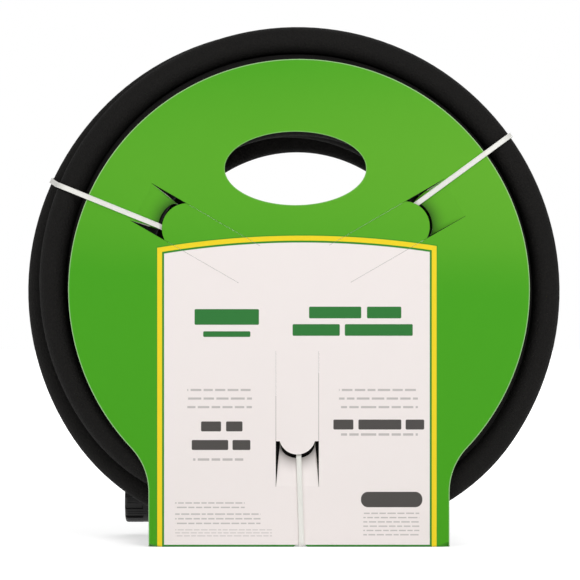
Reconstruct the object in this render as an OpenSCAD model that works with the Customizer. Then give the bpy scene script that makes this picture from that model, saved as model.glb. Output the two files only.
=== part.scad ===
// Soaker hose pack: a coiled porous hose with swivel inlet and capped outlet,
// three cable ties and a folded card. It stands on the card's base panel.
// X runs to the right, Y to the back and Z up. Clock hours name places seen from the front.

/* [Hose] */
// Outside diameter of the porous rubber hose
hose_d = 18.6; // [17.6:0.1:19.6]
// Bore of the hose
hose_bore = 12.7; // [11:0.1:14]
// Length of hose held by each sleeve
grip_len = 20; // [16:1:21]
// Wall of the sleeves round the hose ends
sleeve_wall = 2.4; // [1.6:0.1:3]

/* [Coil] */
// Radius of the outermost turn where the first and second layer would meet
coil_r = 183.7; // [176:0.1:190]
// Free space between neighbouring turns of a layer
turn_gap = 0.9; // [0.8:0.1:1.4]
// Free space between neighbouring layers
layer_gap = 0.9; // [0.8:0.1:1.4]
// How far the weight of the pack flattens the coil underneath
flat_depth = 11; // [6:0.5:12]

/* [Card] */
// Thickness of the board
board = 0.6; // [0.4:0.1:0.9]
// Radius of the round part
card_r = 161.3; // [150:0.1:168]
// Width of the straight part
card_w = 210.4; // [190:0.1:230]
// Radius of the hollow curves between the round and the straight part
card_fillet = 45; // [30:1:60]
// Free space between the coil's front and the flat board
standoff = 4; // [3.2:0.1:4.5]
// Height of the flap that folds up the back
flap_h = 80; // [60:1:95]
// Radius of the flap's upper corners
flap_corner = 14; // [6:1:20]
// Width of the hand hole
hand_w = 98.9; // [85:0.1:110]
// Height of the hand hole
hand_h = 51.4; // [40:0.1:60]
// Height of the hand hole's middle over the middle of the round part
hand_up = 84.9; // [75:0.1:92]
// Width of each die-cut tongue
tongue_w = 30; // [24:0.5:34]
// Distance from the card's middle to the root crease of the tongues
tongue_root = 34; // [30:1:45]
// Width of the curved slot at the end of each tongue
slot_gap = 2; // [1.4:0.1:2.6]

/* [Ties] */
// Width of a strap
strap_w = 3.6; // [3:0.1:4.4]
// Thickness of a strap
strap_t = 1.2; // [0.9:0.1:1.5]
// Length of a tie's head along its strap
head_len = 6.5; // [5.5:0.5:8]
// Width of a tie's head
head_w = 6.5; // [5.5:0.5:8]
// Height of a tie's head
head_h = 4.5; // [4:0.5:5.5]
// Strap left standing out of a head
stub_len = 9; // [4:1:14]

/* [Inlet coupling] */
// Outside radius of the swivel nut
nut_r = 16.3; // [15.8:0.1:17]
// Length of the swivel nut
nut_len = 22; // [20:0.5:24]
// Radius of the nut's threaded bore
thread_r = 13.5; // [13:0.1:13.8]
// Number of flutes round the nut
nut_flutes = 12; // [8:1:16]
// Width of a flute
flute_w = 3; // [2:0.1:3.6]
// Depth of a flute
flute_depth = 1.2; // [0.6:0.1:1.5]
// Length of a flute from the nut's mouth
flute_len = 13.5; // [10:0.5:15]
// Thickness of the inlet's rubber washer
washer_t = 2.9; // [2.4:0.1:3.4]
// Thickness of the flow disc
disc_t = 1.2; // [0.8:0.1:1.5]
// Radius of the hole that the flow disc leaves for the water
disc_hole_r = 1.2; // [0.8:0.1:2]

/* [Outlet fitting] */
// Radius of the male thread
male_r = 13.3; // [12.8:0.1:13.4]
// Length of the male thread
male_len = 11; // [9:0.5:12]
// Width of the outlet's hexagon across its flats
hex_w = 26; // [24:0.5:27]
// Length of the hexagon
hex_len = 5; // [4:0.5:6]
// Outside radius of the end cap
cap_r = 15.6; // [15.2:0.1:15.9]
// Thickness of the cap's closed end
cap_end = 2.2; // [1.6:0.1:3]
// Number of grip flutes round the cap
cap_flutes = 16; // [10:1:20]
// Thickness of the cap's washer
cap_washer_t = 2.2; // [1.6:0.1:2.6]

/* [Hidden] */
$fn = 48;

hose_r = hose_d / 2;
bore_r = hose_bore / 2;
touch = 0.05;        // clearance of faces that seat on each other
soft_clear = 0.3;    // clearance of pieces that lie on the soft hose
run_clear = 0.08;    // running clearance of the swivel
cut = 1;             // how far a cutting shape runs past the face it cuts
lap = 1;             // how far joined solids run into each other
inset = 0.2;         // how much smaller than its straight end a free tube is where it runs into it

// ---- coil: one tube in four layers, wound clockwise seen from the front ----
turn_pitch = hose_d + turn_gap;
layer_pitch = hose_d + layer_gap;
rings_per_turn = 24;
coil_sides = 6;
// Turns from the start to each change of direction, and to the end
to_first_peak = 3.75;
to_valley = 8;
to_second_peak = 12;
to_end = 15.75;
flat_half_angle = 55;
valley_r = coil_r - turn_pitch * (to_valley - to_first_peak);
second_peak_r = valley_r + turn_pitch * (to_second_peak - to_valley);
coil_depth = 3 * layer_pitch + hose_d;
crest = coil_depth / 2;                       // front and back of the coil from its middle

function rounded_abs(t) = abs(t) < 0.25 ? 0.125 + 2 * t * t : abs(t);
function climb(t) = t < -0.25 ? 0 : t > 0.25 ? 1 : (1 + sin(360 * t)) / 2;
function spiral_r(u) =
    u < (to_first_peak + to_valley) / 2 ? coil_r - turn_pitch * rounded_abs(u - to_first_peak)
    : u < (to_valley + to_second_peak) / 2 ? valley_r + turn_pitch * rounded_abs(u - to_valley)
    : second_peak_r - turn_pitch * rounded_abs(u - to_second_peak);
function layer_y(u) = layer_pitch * (-1.5 + climb(u - to_first_peak)
                      + climb(u - to_valley) + climb(u - to_second_peak));
// Angle from 6 o'clock, between -180 and 180
function from_bottom(a) = a - 360 * round(a / 360);
function flattened(a) = abs(from_bottom(a)) < flat_half_angle
    ? flat_depth * pow(cos(90 * from_bottom(a) / flat_half_angle), 2) : 0;
function turn_angle(u) = 360 * (u - to_first_peak);
function turn_r(u) = spiral_r(u) - flattened(turn_angle(u));
function coil_point(u) = [-turn_r(u) * sin(turn_angle(u)), layer_y(u),
                          -turn_r(u) * cos(turn_angle(u))];

function unit(v) = v / norm(v);
coil_steps = round(to_end * rings_per_turn);
step = 1 / rings_per_turn;
// The ends run straight for one hose diameter, on the chord of the next step
coil_start = coil_point(0) + hose_d * unit(coil_point(-step) - coil_point(0));
coil_finish = coil_point(to_end) + hose_d * unit(coil_point(to_end + step) - coil_point(to_end));
coil_path = concat([coil_start], [for (i = [0 : coil_steps]) coil_point(i * step)], [coil_finish]);

// Least gap of the coil to itself, on its points, a quarter turn or more apart
least_gap = min([for (i = [0 : coil_steps]) min(concat([1000],
    [for (j = [i + rings_per_turn / 4 : 1 : coil_steps])
        norm(coil_point(i * step) - coil_point(j * step)) - hose_d]))]);
echo("least gap of the coil to itself in mm", least_gap);

// ---- where the coil stands ----
board_seat = strap_t + 2 * touch;             // room for the strap under the base panel
axis_z = coil_r - turn_pitch / 8 + hose_r - flat_depth + board_seat + board + soft_clear;
card_back = crest + standoff;
card_front = card_back + board;
flap_front = crest + soft_clear;
flap_back = flap_front + board;

// ---- free stretches: points from the coil's middle ----
inlet_end = [-96.5, 56, -156.5];
inlet_straight = 38;
inlet_route = [[-49, 31, -85], [-87, 38, -50], [-104, 45, 0], [-97, 48.6, 43], [-69, 48.7, 83],
               [-29, 48.8, 107], [20, 48.8, 112], [66, 48.8, 96], [100, 48.8, 70],
               [122, 49, 30], [131, 49.2, -18], [122, 49.6, -66], [97, 50.5, -106],
               [60, 52, -137], [22, 54, -152], [5.5, 54.9, -155]];
outlet_end = [33, -24, -66];
outlet_angle = 30;
outlet_straight = 24;
outlet_dir = [cos(outlet_angle), 0, sin(outlet_angle)];
outlet_route = [[-95, -29.2, -54], [-67, -29, -79], [-30, -28.2, -89]];
tail_sides = 10;

rear_reach = inlet_end[1] + nut_r;
front_reach = card_front + touch + strap_t;
coil_y = (front_reach - rear_reach) / 2;
coil_middle = [0, coil_y, axis_z];

// The free tubes run a little way into their straight ends
inlet_path = concat([coil_finish], inlet_route, [inlet_end + [inlet_straight - lap, 0, 0]]);
outlet_path = concat([coil_start], outlet_route, [outlet_end - (outlet_straight - lap) * outlet_dir]);

function path_length(p) = len(p) < 2 ? 0 : [for (i = 0, s = 0; i < len(p); i = i + 1,
    s = s + (i < len(p) ? norm(p[i] - p[i - 1]) : 0)) s][len(p) - 1];
echo("hose length in mm", path_length(coil_path) + path_length(inlet_path)
     + path_length(outlet_path) + inlet_straight + outlet_straight - 2 * lap);

// ---- tubes ----
function tangent(p, i) = unit(p[min(i + 1, len(p) - 1)] - p[max(i - 1, 0)]);
function ring(centre, along, r, sides) =
    let (side = unit([0, 1, 0] - along * along[1]), up = cross(along, side))
    [for (k = [0 : sides - 1]) centre + r * (side * cos(360 * k / sides) + up * sin(360 * k / sides))];

// A closed tube through the points; first_dir and last_dir square its ends, last_r is its last radius
module tube(p, r, last_r, sides, first_dir, last_dir) {
    n = len(p);
    points = [for (i = [0 : n - 1]) for (q = i == n - 1 ? ring(p[i], last_dir, last_r, sides)
        : ring(p[i], i == 0 ? first_dir : tangent(p, i), r, sides)) q];
    faces = concat(
        [for (i = [0 : n - 2]) for (k = [0 : sides - 1])
            [i * sides + k, (i + 1) * sides + k, (i + 1) * sides + (k + 1) % sides]],
        [for (i = [0 : n - 2]) for (k = [0 : sides - 1])
            [i * sides + k, (i + 1) * sides + (k + 1) % sides, i * sides + (k + 1) % sides]],
        [for (k = [1 : sides - 2]) [0, k, k + 1]],
        [for (k = [1 : sides - 2]) [(n - 1) * sides, (n - 1) * sides + k + 1, (n - 1) * sides + k]]);
    polyhedron(points, faces, convexity = 10);
}

start_dir = unit(coil_point(0) - coil_start);
finish_dir = unit(coil_finish - coil_point(to_end));

module hose_coil() {
    color("#1c1a19") translate(coil_middle)
        tube(coil_path, hose_r, hose_r, coil_sides, start_dir, finish_dir);
}

// Puts a piece made on +Z at a hose end, with +Z running out of the hose
module at_inlet() { translate(coil_middle + inlet_end) rotate([0, -90, 0]) children(); }
module at_outlet() { translate(coil_middle + outlet_end) rotate([0, 90 - outlet_angle, 0]) children(); }

module straight_end(length) {
    translate([0, 0, -length]) difference() {
        cylinder(r = hose_r, h = length);
        translate([0, 0, length - grip_len - 0.5]) cylinder(r = bore_r, h = grip_len + 0.5 + cut);
    }
}

module inlet_tail() {
    color("#1c1a19") {
        translate(coil_middle) tube(inlet_path, hose_r, hose_r - inset, tail_sides, finish_dir, [-1, 0, 0]);
        at_inlet() straight_end(inlet_straight);
    }
}

module outlet_tail() {
    color("#1c1a19") {
        translate(coil_middle) tube(outlet_path, hose_r, hose_r - inset, tail_sides, -start_dir, outlet_dir);
        at_outlet() straight_end(outlet_straight);
    }
}

// ---- couplings: made on +Z, with the hose's cut end at z = 0 ----
waterway_r = bore_r - 1.9;
shank_r = bore_r - touch;
barb_r = shank_r - 0.5;
barb_pitch = 4;
barb_count = floor(grip_len / barb_pitch);
sleeve_r = hose_r + touch + sleeve_wall;
shoulder_t = 3;
neck_r = 8;
lip_t = 3.8;
lip_z = shoulder_t + 1;
flange_z = lip_z + lip_t + 2 * touch;
flange_t = 2;
flange_r = thread_r - 1.3;
disc_z = flange_z + flange_t + touch;
washer_z = disc_z + disc_t + touch;
washer_r = thread_r - 0.3;
washer_bore_r = 8;

// Barbed shank inside the hose
module shank(bore) {
    difference() {
        union() {
            translate([0, 0, -grip_len]) cylinder(r = barb_r, h = grip_len + touch);
            for (i = [0 : barb_count - 1]) translate([0, 0, -grip_len + i * barb_pitch])
                cylinder(r1 = barb_r, r2 = shank_r, h = barb_pitch * 0.75);
        }
        translate([0, 0, -grip_len - cut]) cylinder(r = bore, h = grip_len + 2 * cut);
    }
}

module sleeve() {
    difference() {
        translate([0, 0, -grip_len]) rotate_extrude()
            polygon([[hose_r + touch, 0], [sleeve_r - 0.8, 0], [sleeve_r, 0.8],
                     [sleeve_r, grip_len - 3], [sleeve_r + 0.6, grip_len - 2.4],
                     [sleeve_r + 0.6, grip_len], [hose_r + touch, grip_len]]);
        for (z = [-grip_len + 5, -grip_len + 9, -grip_len + 13])
            translate([0, 0, z]) rotate_extrude() translate([sleeve_r + 0.3, 0]) circle(r = 0.9, $fn = 16);
    }
}

module inlet_stem() {
    color("#232222") at_inlet() {
        shank(waterway_r);
        difference() {
            union() {
                translate([0, 0, touch]) cylinder(r = sleeve_r + 0.6, h = shoulder_t - touch);
                translate([0, 0, shoulder_t - cut]) cylinder(r = neck_r, h = flange_z - shoulder_t + 2 * cut);
                translate([0, 0, flange_z]) cylinder(r = flange_r, h = flange_t);
            }
            translate([0, 0, -cut]) cylinder(r = waterway_r, h = flange_z + flange_t + 2 * cut);
        }
    }
}

module inlet_sleeve() { color("#1f1e1e") at_inlet() sleeve(); }

module inlet_nut() {
    edge = 1.6;
    relief = 0.4;        // groove behind the thread, round the washer and the flange
    thread_start = washer_z + washer_t - lip_z + relief + 0.2;
    color("#1d1c1c") at_inlet() translate([0, 0, lip_z]) difference() {
        rotate_extrude() polygon([
            [neck_r + run_clear, 0], [nut_r - 3, 0], [nut_r - 1, 1.2], [nut_r - 0.3, 3],
            [nut_r, 5], [nut_r, nut_len - edge], [nut_r - edge * 0.3, nut_len - edge * 0.35],
            [nut_r - edge, nut_len], [thread_r + 1, nut_len], [thread_r, nut_len - 1],
            [thread_r, thread_start], [thread_r + relief, thread_start - relief],
            [thread_r + relief, lip_t], [neck_r + run_clear, lip_t]]);
        for (i = [0 : nut_flutes - 1]) rotate([0, 0, (i + 0.5) * 360 / nut_flutes])
            translate([nut_r - flute_depth, -flute_w / 2, nut_len - flute_len])
                cube([flute_depth + cut, flute_w, flute_len + cut]);
    }
}

module flow_disc() {
    color("#d9d6cc") at_inlet() translate([0, 0, disc_z]) difference() {
        cylinder(r = flange_r, h = disc_t);
        translate([0, 0, -cut]) cylinder(r = disc_hole_r, h = disc_t + 2 * cut);
    }
}

module inlet_washer() {
    color("#33302e") at_inlet() translate([0, 0, washer_z]) difference() {
        cylinder(r = washer_r, h = washer_t);
        translate([0, 0, -cut]) cylinder(r = washer_bore_r, h = washer_t + 2 * cut);
    }
}

male_z = hex_len + touch;
male_end_z = male_z + male_len;
cap_mouth_z = male_z + 0.6;
cap_seat_z = male_end_z + touch + cap_washer_t + touch;
cap_len = cap_seat_z + cap_end - cap_mouth_z;
cap_bore_r = male_r + 0.3;

module outlet_fitting() {
    color("#232222") at_outlet() {
        shank(waterway_r);
        difference() {
            union() {
                translate([0, 0, touch]) intersection() {
                    cylinder(r = hex_w / sqrt(3), h = hex_len, $fn = 6);
                    cylinder(r1 = hex_w / 2 + 0.4, r2 = hex_w / 2 + 1.4, h = hex_len);
                }
                translate([0, 0, hex_len - cut]) cylinder(r = male_r, h = male_len + cut - 0.8 + touch);
                translate([0, 0, male_end_z - 0.8]) cylinder(r1 = male_r, r2 = male_r - 0.8, h = 0.8);
            }
            translate([0, 0, -cut]) cylinder(r = waterway_r, h = male_end_z + 2 * cut);
        }
    }
}

module outlet_sleeve() { color("#1f1e1e") at_outlet() sleeve(); }

module cap_washer() {
    color("#33302e") at_outlet() translate([0, 0, male_end_z + touch]) difference() {
        cylinder(r = male_r - 0.3, h = cap_washer_t);
        translate([0, 0, -cut]) cylinder(r = 5, h = cap_washer_t + 2 * cut);
    }
}

module end_cap() {
    color("#1d1c1c") at_outlet() translate([0, 0, cap_mouth_z]) difference() {
        rotate_extrude() polygon([
            [cap_bore_r, 0], [cap_r - 0.5, 0], [cap_r, 0.6], [cap_r, cap_len - 1.4],
            [cap_r - 0.4, cap_len - 0.4], [cap_r - 1.4, cap_len], [0, cap_len],
            [0, cap_len - cap_end], [cap_bore_r, cap_len - cap_end]]);
        for (i = [0 : cap_flutes - 1]) rotate([0, 0, i * 360 / cap_flutes])
            translate([cap_r + 0.6, 0, 2]) cylinder(r = 1.4, h = cap_len - 1, $fn = 24);
    }
}

// ---- card ----
// Middle of the round part from the coil's middle, across and up
card_x = 4.5;
card_z = -2;
hand_x = -2.5;
// Each slot: direction, distance to the tongue's tip and to the outer end of the cuts
slots = [[-90, 113.9, 137.7], [150, 109.5, 127.5], [30, 106, 124.5]];
tip_r = 17.6;        // radius of a tongue's curved tip
slit = 0.5;          // width of a straight die cut
channel_w = strap_w + 2.4;
tie_x = 5.5;         // the bottom tie's plane from the coil's middle
card_bottom = -axis_z - card_z;               // ground level seen from the round part's middle
tip_sag = tip_r - sqrt(tip_r * tip_r - tongue_w * tongue_w / 4);
// Length of a strip along its cut sides, and the tilt that presses its end against the hose
function strip_len(s) = s[2] - s[1] + tip_r
    - sqrt(pow(tip_r + slot_gap, 2) - pow(tongue_w / 2 - slit, 2));
function strip_tilt(s) = asin((standoff - soft_clear) / strip_len(s));

module card_outline() {
    reach = card_r + card_fillet;
    side = card_w / 2 + card_fillet;
    drop = sqrt(reach * reach - side * side);
    circle(r = card_r, $fn = 128);
    translate([-card_w / 2, card_bottom]) square([card_w, -card_bottom]);
    for (s = [-1, 1]) difference() {
        polygon([[0, 0], [s * side * card_r / reach, -drop * card_r / reach],
                 [s * side, -drop], [0, -drop]]);
        translate([s * side, -drop]) circle(r = card_fillet, $fn = 96);
    }
}

module hand_hole() {
    polygon([for (i = [0 : 47]) [hand_x + hand_w / 2 * cos(7.5 * i), hand_up + hand_h / 2 * sin(7.5 * i)]]);
}

// The cut-out of one slot, along +X: the strip's place, the curved slot and the tongue's side slits
module slot_cut(tip, root) {
    difference() {
        translate([tip - tip_sag, -tongue_w / 2]) square([root - tip + tip_sag, tongue_w]);
        translate([tip - tip_r, 0]) circle(r = tip_r, $fn = 64);
    }
    for (s = [-1, 1]) translate([tongue_root, s * (tongue_w - slit) / 2 - slit / 2])
        square([tip - tip_sag - tongue_root + cut, slit]);
}

// The strip beyond a tongue, hinged at the outer end of the cuts and pressed inwards
module strip(s) {
    translate([s[2], 0, 0]) rotate([0, -strip_tilt(s), 0]) linear_extrude(board) difference() {
        translate([s[1] - tip_sag - s[2], -tongue_w / 2 + slit])
            square([s[2] - s[1] + tip_sag + 0.2, tongue_w - 2 * slit]);
        translate([s[1] - tip_r - s[2], 0]) circle(r = tip_r + slot_gap, $fn = 64);
    }
}

// Profile of the base panel across X, dented upwards where the bottom tie passes under it
module base_profile(low) {
    a = tie_x - card_x - channel_w / 2;
    b = tie_x - card_x + channel_w / 2;
    top = board_seat + low;
    polygon([[-card_w / 2, low], [a - 2, low], [a, top], [b, top], [b + 2, low], [card_w / 2, low],
             [card_w / 2, low + board], [b + 2, low + board], [b, top + board], [a, top + board],
             [a - 2, low + board], [-card_w / 2, low + board]]);
}

// Space under the dent, cut out of the upright panels' lower edges
module dent() {
    a = tie_x - card_x - channel_w / 2;
    b = tie_x - card_x + channel_w / 2;
    translate([0, card_bottom]) polygon([[a - 2, 0], [a, board_seat], [b, board_seat], [b + 2, 0], [b, -cut], [a, -cut]]);
}

// Lays a flat drawing upright, facing the front, with its back at distance y behind the coil's middle
module upright(y) { translate([card_x, y, card_z]) rotate([90, 0, 0]) children(); }

module label_card() {
    color("#54ac2b") translate(coil_middle) {
        upright(-card_back) linear_extrude(board) difference() {
            card_outline();
            hand_hole();
            for (s = slots) rotate(s[0]) slot_cut(s[1], s[2]);
            dent();
        }
        upright(-card_back) for (s = slots) rotate(s[0]) strip(s);
        translate([card_x, flap_back, -axis_z]) rotate([90, 0, 0])
            linear_extrude(flap_back + card_front) base_profile(0);
        upright(flap_back) linear_extrude(board) difference() {
            translate([-card_w / 2, card_bottom]) union() {
                square([card_w, flap_h - flap_corner]);
                translate([flap_corner, 0]) square([card_w - 2 * flap_corner, flap_h]);
                for (x = [flap_corner, card_w - flap_corner])
                    translate([x, flap_h - flap_corner]) circle(r = flap_corner);
            }
            dent();
        }
    }
}

// ---- ties: closed straps drawn in the plane of the coil's section, radius across and depth up ----
tie_angles = [155.5, 33.8];  // directions of the left and right tie, from +X towards +Z
strap_clear = 0.6;           // clearance of the straps round the hose, which bends under them
head_at = 30;                // distance of the heads from the free hose, along the strap

// Where a line of points crosses the tie's section, as [radius, depth]
function crossing(p, direction, offset) =
    let (across = [-sin(direction), 0, cos(direction)], out = [cos(direction), 0, sin(direction)])
    [for (i = [0 : len(p) - 2]) let (a = p[i] * across - offset, b = p[i + 1] * across - offset)
        if (a * b <= 0 && a != b) let (q = p[i] + (p[i + 1] - p[i]) * a / (a - b))
            if (q * out > 0) [q * out, q[1]]];
// Lines w across from the middle of the tie's plane, over the card: radius at which each meets the
// slot's outer end, and the edge of its strip
function bearing(direction) = [cos(direction), sin(direction)];
function line_from(w, direction) = w * [-sin(direction), cos(direction)] - [card_x, card_z];
function root_at(w, direction, s) =
    (s[2] - line_from(w, direction) * bearing(s[0])) / (bearing(direction) * bearing(s[0]));
function edge_at(w, direction, s) =
    let (q = line_from(w, direction) - (s[1] - tip_r) * bearing(s[0]), u = bearing(direction))
    sqrt(pow(u * q, 2) - q * q + pow(tip_r + slot_gap, 2)) - u * q;
function strip_face(r, w, direction, s) = card_front - tan(strip_tilt(s))
    * (s[2] - (r * bearing(direction) + line_from(w, direction)) * bearing(s[0]));

module strap_inside(direction, offset, s, card_points) {
    hull() {
        for (p = [coil_path, inlet_path, outlet_path]) for (q = crossing(p, direction, offset))
            translate(q) circle(r = hose_r + strap_clear, $fn = 32);
        for (w = [offset - strap_w / 2, offset, offset + strap_w / 2]) {
            r = edge_at(w, direction, s);
            translate([r, -strip_face(r, w, direction, s)]) circle(r = touch, $fn = 12);
            translate([root_at(w, direction, s), -card_front]) circle(r = touch, $fn = 12);
        }
        for (q = card_points) translate(q) circle(r = touch, $fn = 12);
    }
}

module strap(direction, offset, s, card_points) {
    linear_extrude(strap_w, center = true) difference() {
        offset(r = strap_t, $fn = 32) strap_inside(direction, offset, s, card_points);
        strap_inside(direction, offset, s, card_points);
    }
}

// Slope of the strap's rear run from the free hose at t to the coil's outer (1) or inner (-1) side
function run_slope(t, direction, offset, side) = side *
    max([for (q = crossing(coil_path, direction, offset))
        if (side * (q[0] - t[0]) > hose_d) side * (q[1] - t[1]) / (q[0] - t[0])]);

// The head stands on the rear run, with the cut stub of the strap standing out of it
module tie_head(t, slope, along) {
    translate(t) rotate([0, 0, atan(slope)]) translate([along, hose_r + strap_clear, 0]) {
        translate([-head_len / 2, 0, 0]) rotate([90, 0, 90]) linear_extrude(head_len)
            polygon([[0, -head_w / 2], [head_h - 1, -head_w / 2], [head_h, -head_w / 2 + 1],
                     [head_h, head_w / 2 - 1], [head_h - 1, head_w / 2], [0, head_w / 2]]);
        translate([-strap_t / 2, head_h - lap, -strap_w / 2]) cube([strap_t, stub_len + lap, strap_w]);
    }
}

module tie(direction, offset, s, card_points, side) {
    t = crossing(inlet_path, direction, offset)[0];
    strap(direction, offset, s, card_points);
    tie_head(t, run_slope(t, direction, offset, side), side * head_at);
}

module radial_tie(direction, s) {
    rim = card_r + card_x * cos(direction) + card_z * sin(direction);
    color("#e9e6e2") translate(coil_middle) rotate([0, -direction, 0])
        tie(direction, 0, s, [[rim, -card_front]], 1);
}

module tie_left() { radial_tie(tie_angles[0], slots[1]); }
module tie_right() { radial_tie(tie_angles[1], slots[2]); }

module tie_bottom() {
    low = axis_z - strap_t - 2 * touch;
    color("#e9e6e2") translate(coil_middle + [tie_x, 0, 0]) rotate([0, 90, 0])
        tie(-90, tie_x, slots[0], [[low, -card_front], [low, flap_back + touch]], -1);
}

hose_coil();
inlet_tail();
outlet_tail();
inlet_nut();
inlet_stem();
inlet_sleeve();
inlet_washer();
flow_disc();
outlet_fitting();
outlet_sleeve();
end_cap();
cap_washer();
label_card();
tie_left();
tie_right();
tie_bottom();
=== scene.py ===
"""Looks of a soaker hose pack: coiled porous hose, hose couplings, folded card and cable ties.

Lengths are in millimetres from the middle of the coil until a mesh is made, where they become
metres in the shared frame. X runs to the right, Y to the back and Z up.
"""
import math
from collections import namedtuple

import bpy
import numpy as np
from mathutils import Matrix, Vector
from mathutils.geometry import delaunay_2d_cdt


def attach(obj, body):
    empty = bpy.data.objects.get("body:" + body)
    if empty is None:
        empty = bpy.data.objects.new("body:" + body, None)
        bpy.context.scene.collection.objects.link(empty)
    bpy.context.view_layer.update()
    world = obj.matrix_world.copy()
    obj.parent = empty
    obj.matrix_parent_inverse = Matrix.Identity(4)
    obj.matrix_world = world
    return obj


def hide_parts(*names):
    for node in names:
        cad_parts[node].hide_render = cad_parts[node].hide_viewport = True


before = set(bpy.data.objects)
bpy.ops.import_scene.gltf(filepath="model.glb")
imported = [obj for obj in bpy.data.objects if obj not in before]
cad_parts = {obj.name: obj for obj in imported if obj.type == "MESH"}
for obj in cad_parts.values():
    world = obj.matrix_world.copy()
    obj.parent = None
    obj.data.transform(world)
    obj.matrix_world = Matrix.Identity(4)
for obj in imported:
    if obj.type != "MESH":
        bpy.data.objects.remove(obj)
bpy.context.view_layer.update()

MM = 0.001
TAU = 2 * math.pi
NEAR = 1e-3                          # how far apart two places may lie and still be the same

# ---- sizes that the part's source uses too ----
HOSE_D, HOSE_BORE = 18.6, 12.7
HOSE_R = HOSE_D / 2
COIL_R, PITCH, FLAT_DEPTH, FLAT_ANGLE = 183.7, 19.5, 11.0, 55.0
FIRST_PEAK, VALLEY, SECOND_PEAK, COIL_END = 3.75, 8.0, 12.0, 15.75
VALLEY_R = COIL_R - PITCH * (VALLEY - FIRST_PEAK)
SECOND_PEAK_R = VALLEY_R + PITCH * (SECOND_PEAK - VALLEY)
COIL_MIDDLE = np.array([0.0, -13.95, 181.7625])
INLET_END = np.array([-96.5, 56.0, -156.5])
OUTLET_END = np.array([33.0, -24.0, -66.0])
OUTLET_DIR = np.array([math.cos(math.radians(30)), 0, 0.5])
INLET_ROUTE = [[-49, 31, -85], [-87, 38, -50], [-104, 45, 0], [-97, 48.6, 43], [-69, 48.7, 83],
               [-29, 48.8, 107], [20, 48.8, 112], [66, 48.8, 96], [100, 48.8, 70],
               [122, 49, 30], [131, 49.2, -18], [122, 49.6, -66], [97, 50.5, -106],
               [60, 52, -137], [22, 54, -152], [5.5, 54.9, -155]]
OUTLET_ROUTE = [[-95, -29.2, -54], [-67, -29, -79], [-30, -28.2, -89]]
CARD_X, CARD_Z, CARD_R, CARD_W, FILLET = 4.5, -2.0, 161.3, 210.4, 45.0
BOARD, CREST, CARD_BACK, RIM = 0.6, 38.55, 42.55, 0.8
FLAP_FRONT, FLAP_H, FLAP_CORNER = 38.85, 80.0, 14.0
HAND_X, HAND_UP, HAND_W, HAND_H = -2.5, 84.9, 98.9, 51.4
# Each slot: direction of its axis and how far the axis passes beside the card's middle; distances
# from the middle to the inner end of the cuts, the tongue's tip and the outer end of the cuts;
# radius of the tip, half the width of its arc, gap between tip and strip; and for the low and the
# high side of the strip how far its corner draws in as it curls under, and the power of that
Slot = namedtuple("Slot", "direction beside start tip root tip_r arc gap low high")
SLOTS = [Slot(-90, -1.2, 43.0, 115.1, 137.7, 12.8, 12.3, 2.7, (3.0, 1.5), (2.6, 1.9)),
         Slot(150, 2.0, 39.0, 106.8, 126.4, 17.6, 14.95, 2.8, (3.6, 1.5), (6.0, 1.3)),
         Slot(30, 1.4, 34.0, 103.6, 126.5, 17.6, 14.95, 2.0, (0.5, 3.0), (4.2, 3.2))]
TONGUE_W = 30.0
SLIT = 0.05                          # a die's cut closes up behind it
STRIP_SHADE_REACH = 13.0                         # how far the painted shade on a strip reaches from its end
CURL = 1.0                           # how much deeper than its middle a strip's corners lie
STRAP_W, STRAP_T, TOUCH, SOFT = 3.6, 1.2, 0.05, 0.3
TIE_X, CHANNEL_W = 5.5, 6.0
GRIP, SLEEVE_R, WATERWAY_R, SHANK_R = 20.0, 11.75, 4.45, 6.3
NUT_R, NUT_LEN, NUT_Z, THREAD_R, THREAD_PITCH = 16.3, 22.0, 4.0, 13.5, 25.4 / 11.5
DISC_Z, WASHER_Z, FLANGE_Z = 9.95, 11.2, 7.9
MALE_R, MALE_Z, MALE_END, CAP_R, CAP_Z, CAP_LEN, HEX_W = 13.3, 5.05, 16.05, 15.6, 5.65, 14.9, 26.0
HEX_R, HEX_LOW, THREAD_DEPTH, MALE_THREAD = 13.5, 0.05, 0.95, (5.7, 15.9)
MALE_ROOT, CAP_BORE_R = MALE_R - THREAD_DEPTH, MALE_R + 0.3
LIP_BORE, FLANGE_R, SHOULDER_R, BARB_R = 8.08, 12.2, 12.35, SHANK_R - 0.5
BOARD_SEAT = STRAP_T + 2 * TOUCH
AXIS_Z = COIL_MIDDLE[2]

# ---- sizes of the looks alone ----
HOSE_SIDES, RINGS_PER_TURN, TAIL_SPACING = 24, 144, 7
WANDER = 0.12                        # how far the hose's radius strays
HEAD_HALF = 3.25                     # half the width of a tie's head
STRAY_FROM, STRAY_OVER = 105, 80     # where a strap starts to stray further, and over what length
THREAD_STEP = 0.2                    # between the rings that a thread is cut in
AMBIENT = 0.475                      # light from all round, as a share of the white that shows
FLOOR_HALF, FLOOR_Z = 6, -1e-4       # in metres
PACK_MIDDLE = (0, 0, 0.18)           # in metres

# ---- print on the card, from the middle of its round part ----
# Middle and radius of the panel's arched top, and its middle and half width, at the yellow line
ARCH = (2.4, -574.8, 612.6)
PANEL_X, PANEL_HALF = -1.45, 97.65
FOLD_PRINT = -178.2                  # height at which the cream stops above the fold
CARD_LOW = -AXIS_Z - CARD_Z          # ground level
DARK_GREEN, INK, FINE_INK = "#2c7434", "#4c4947", "#777472"
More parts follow.
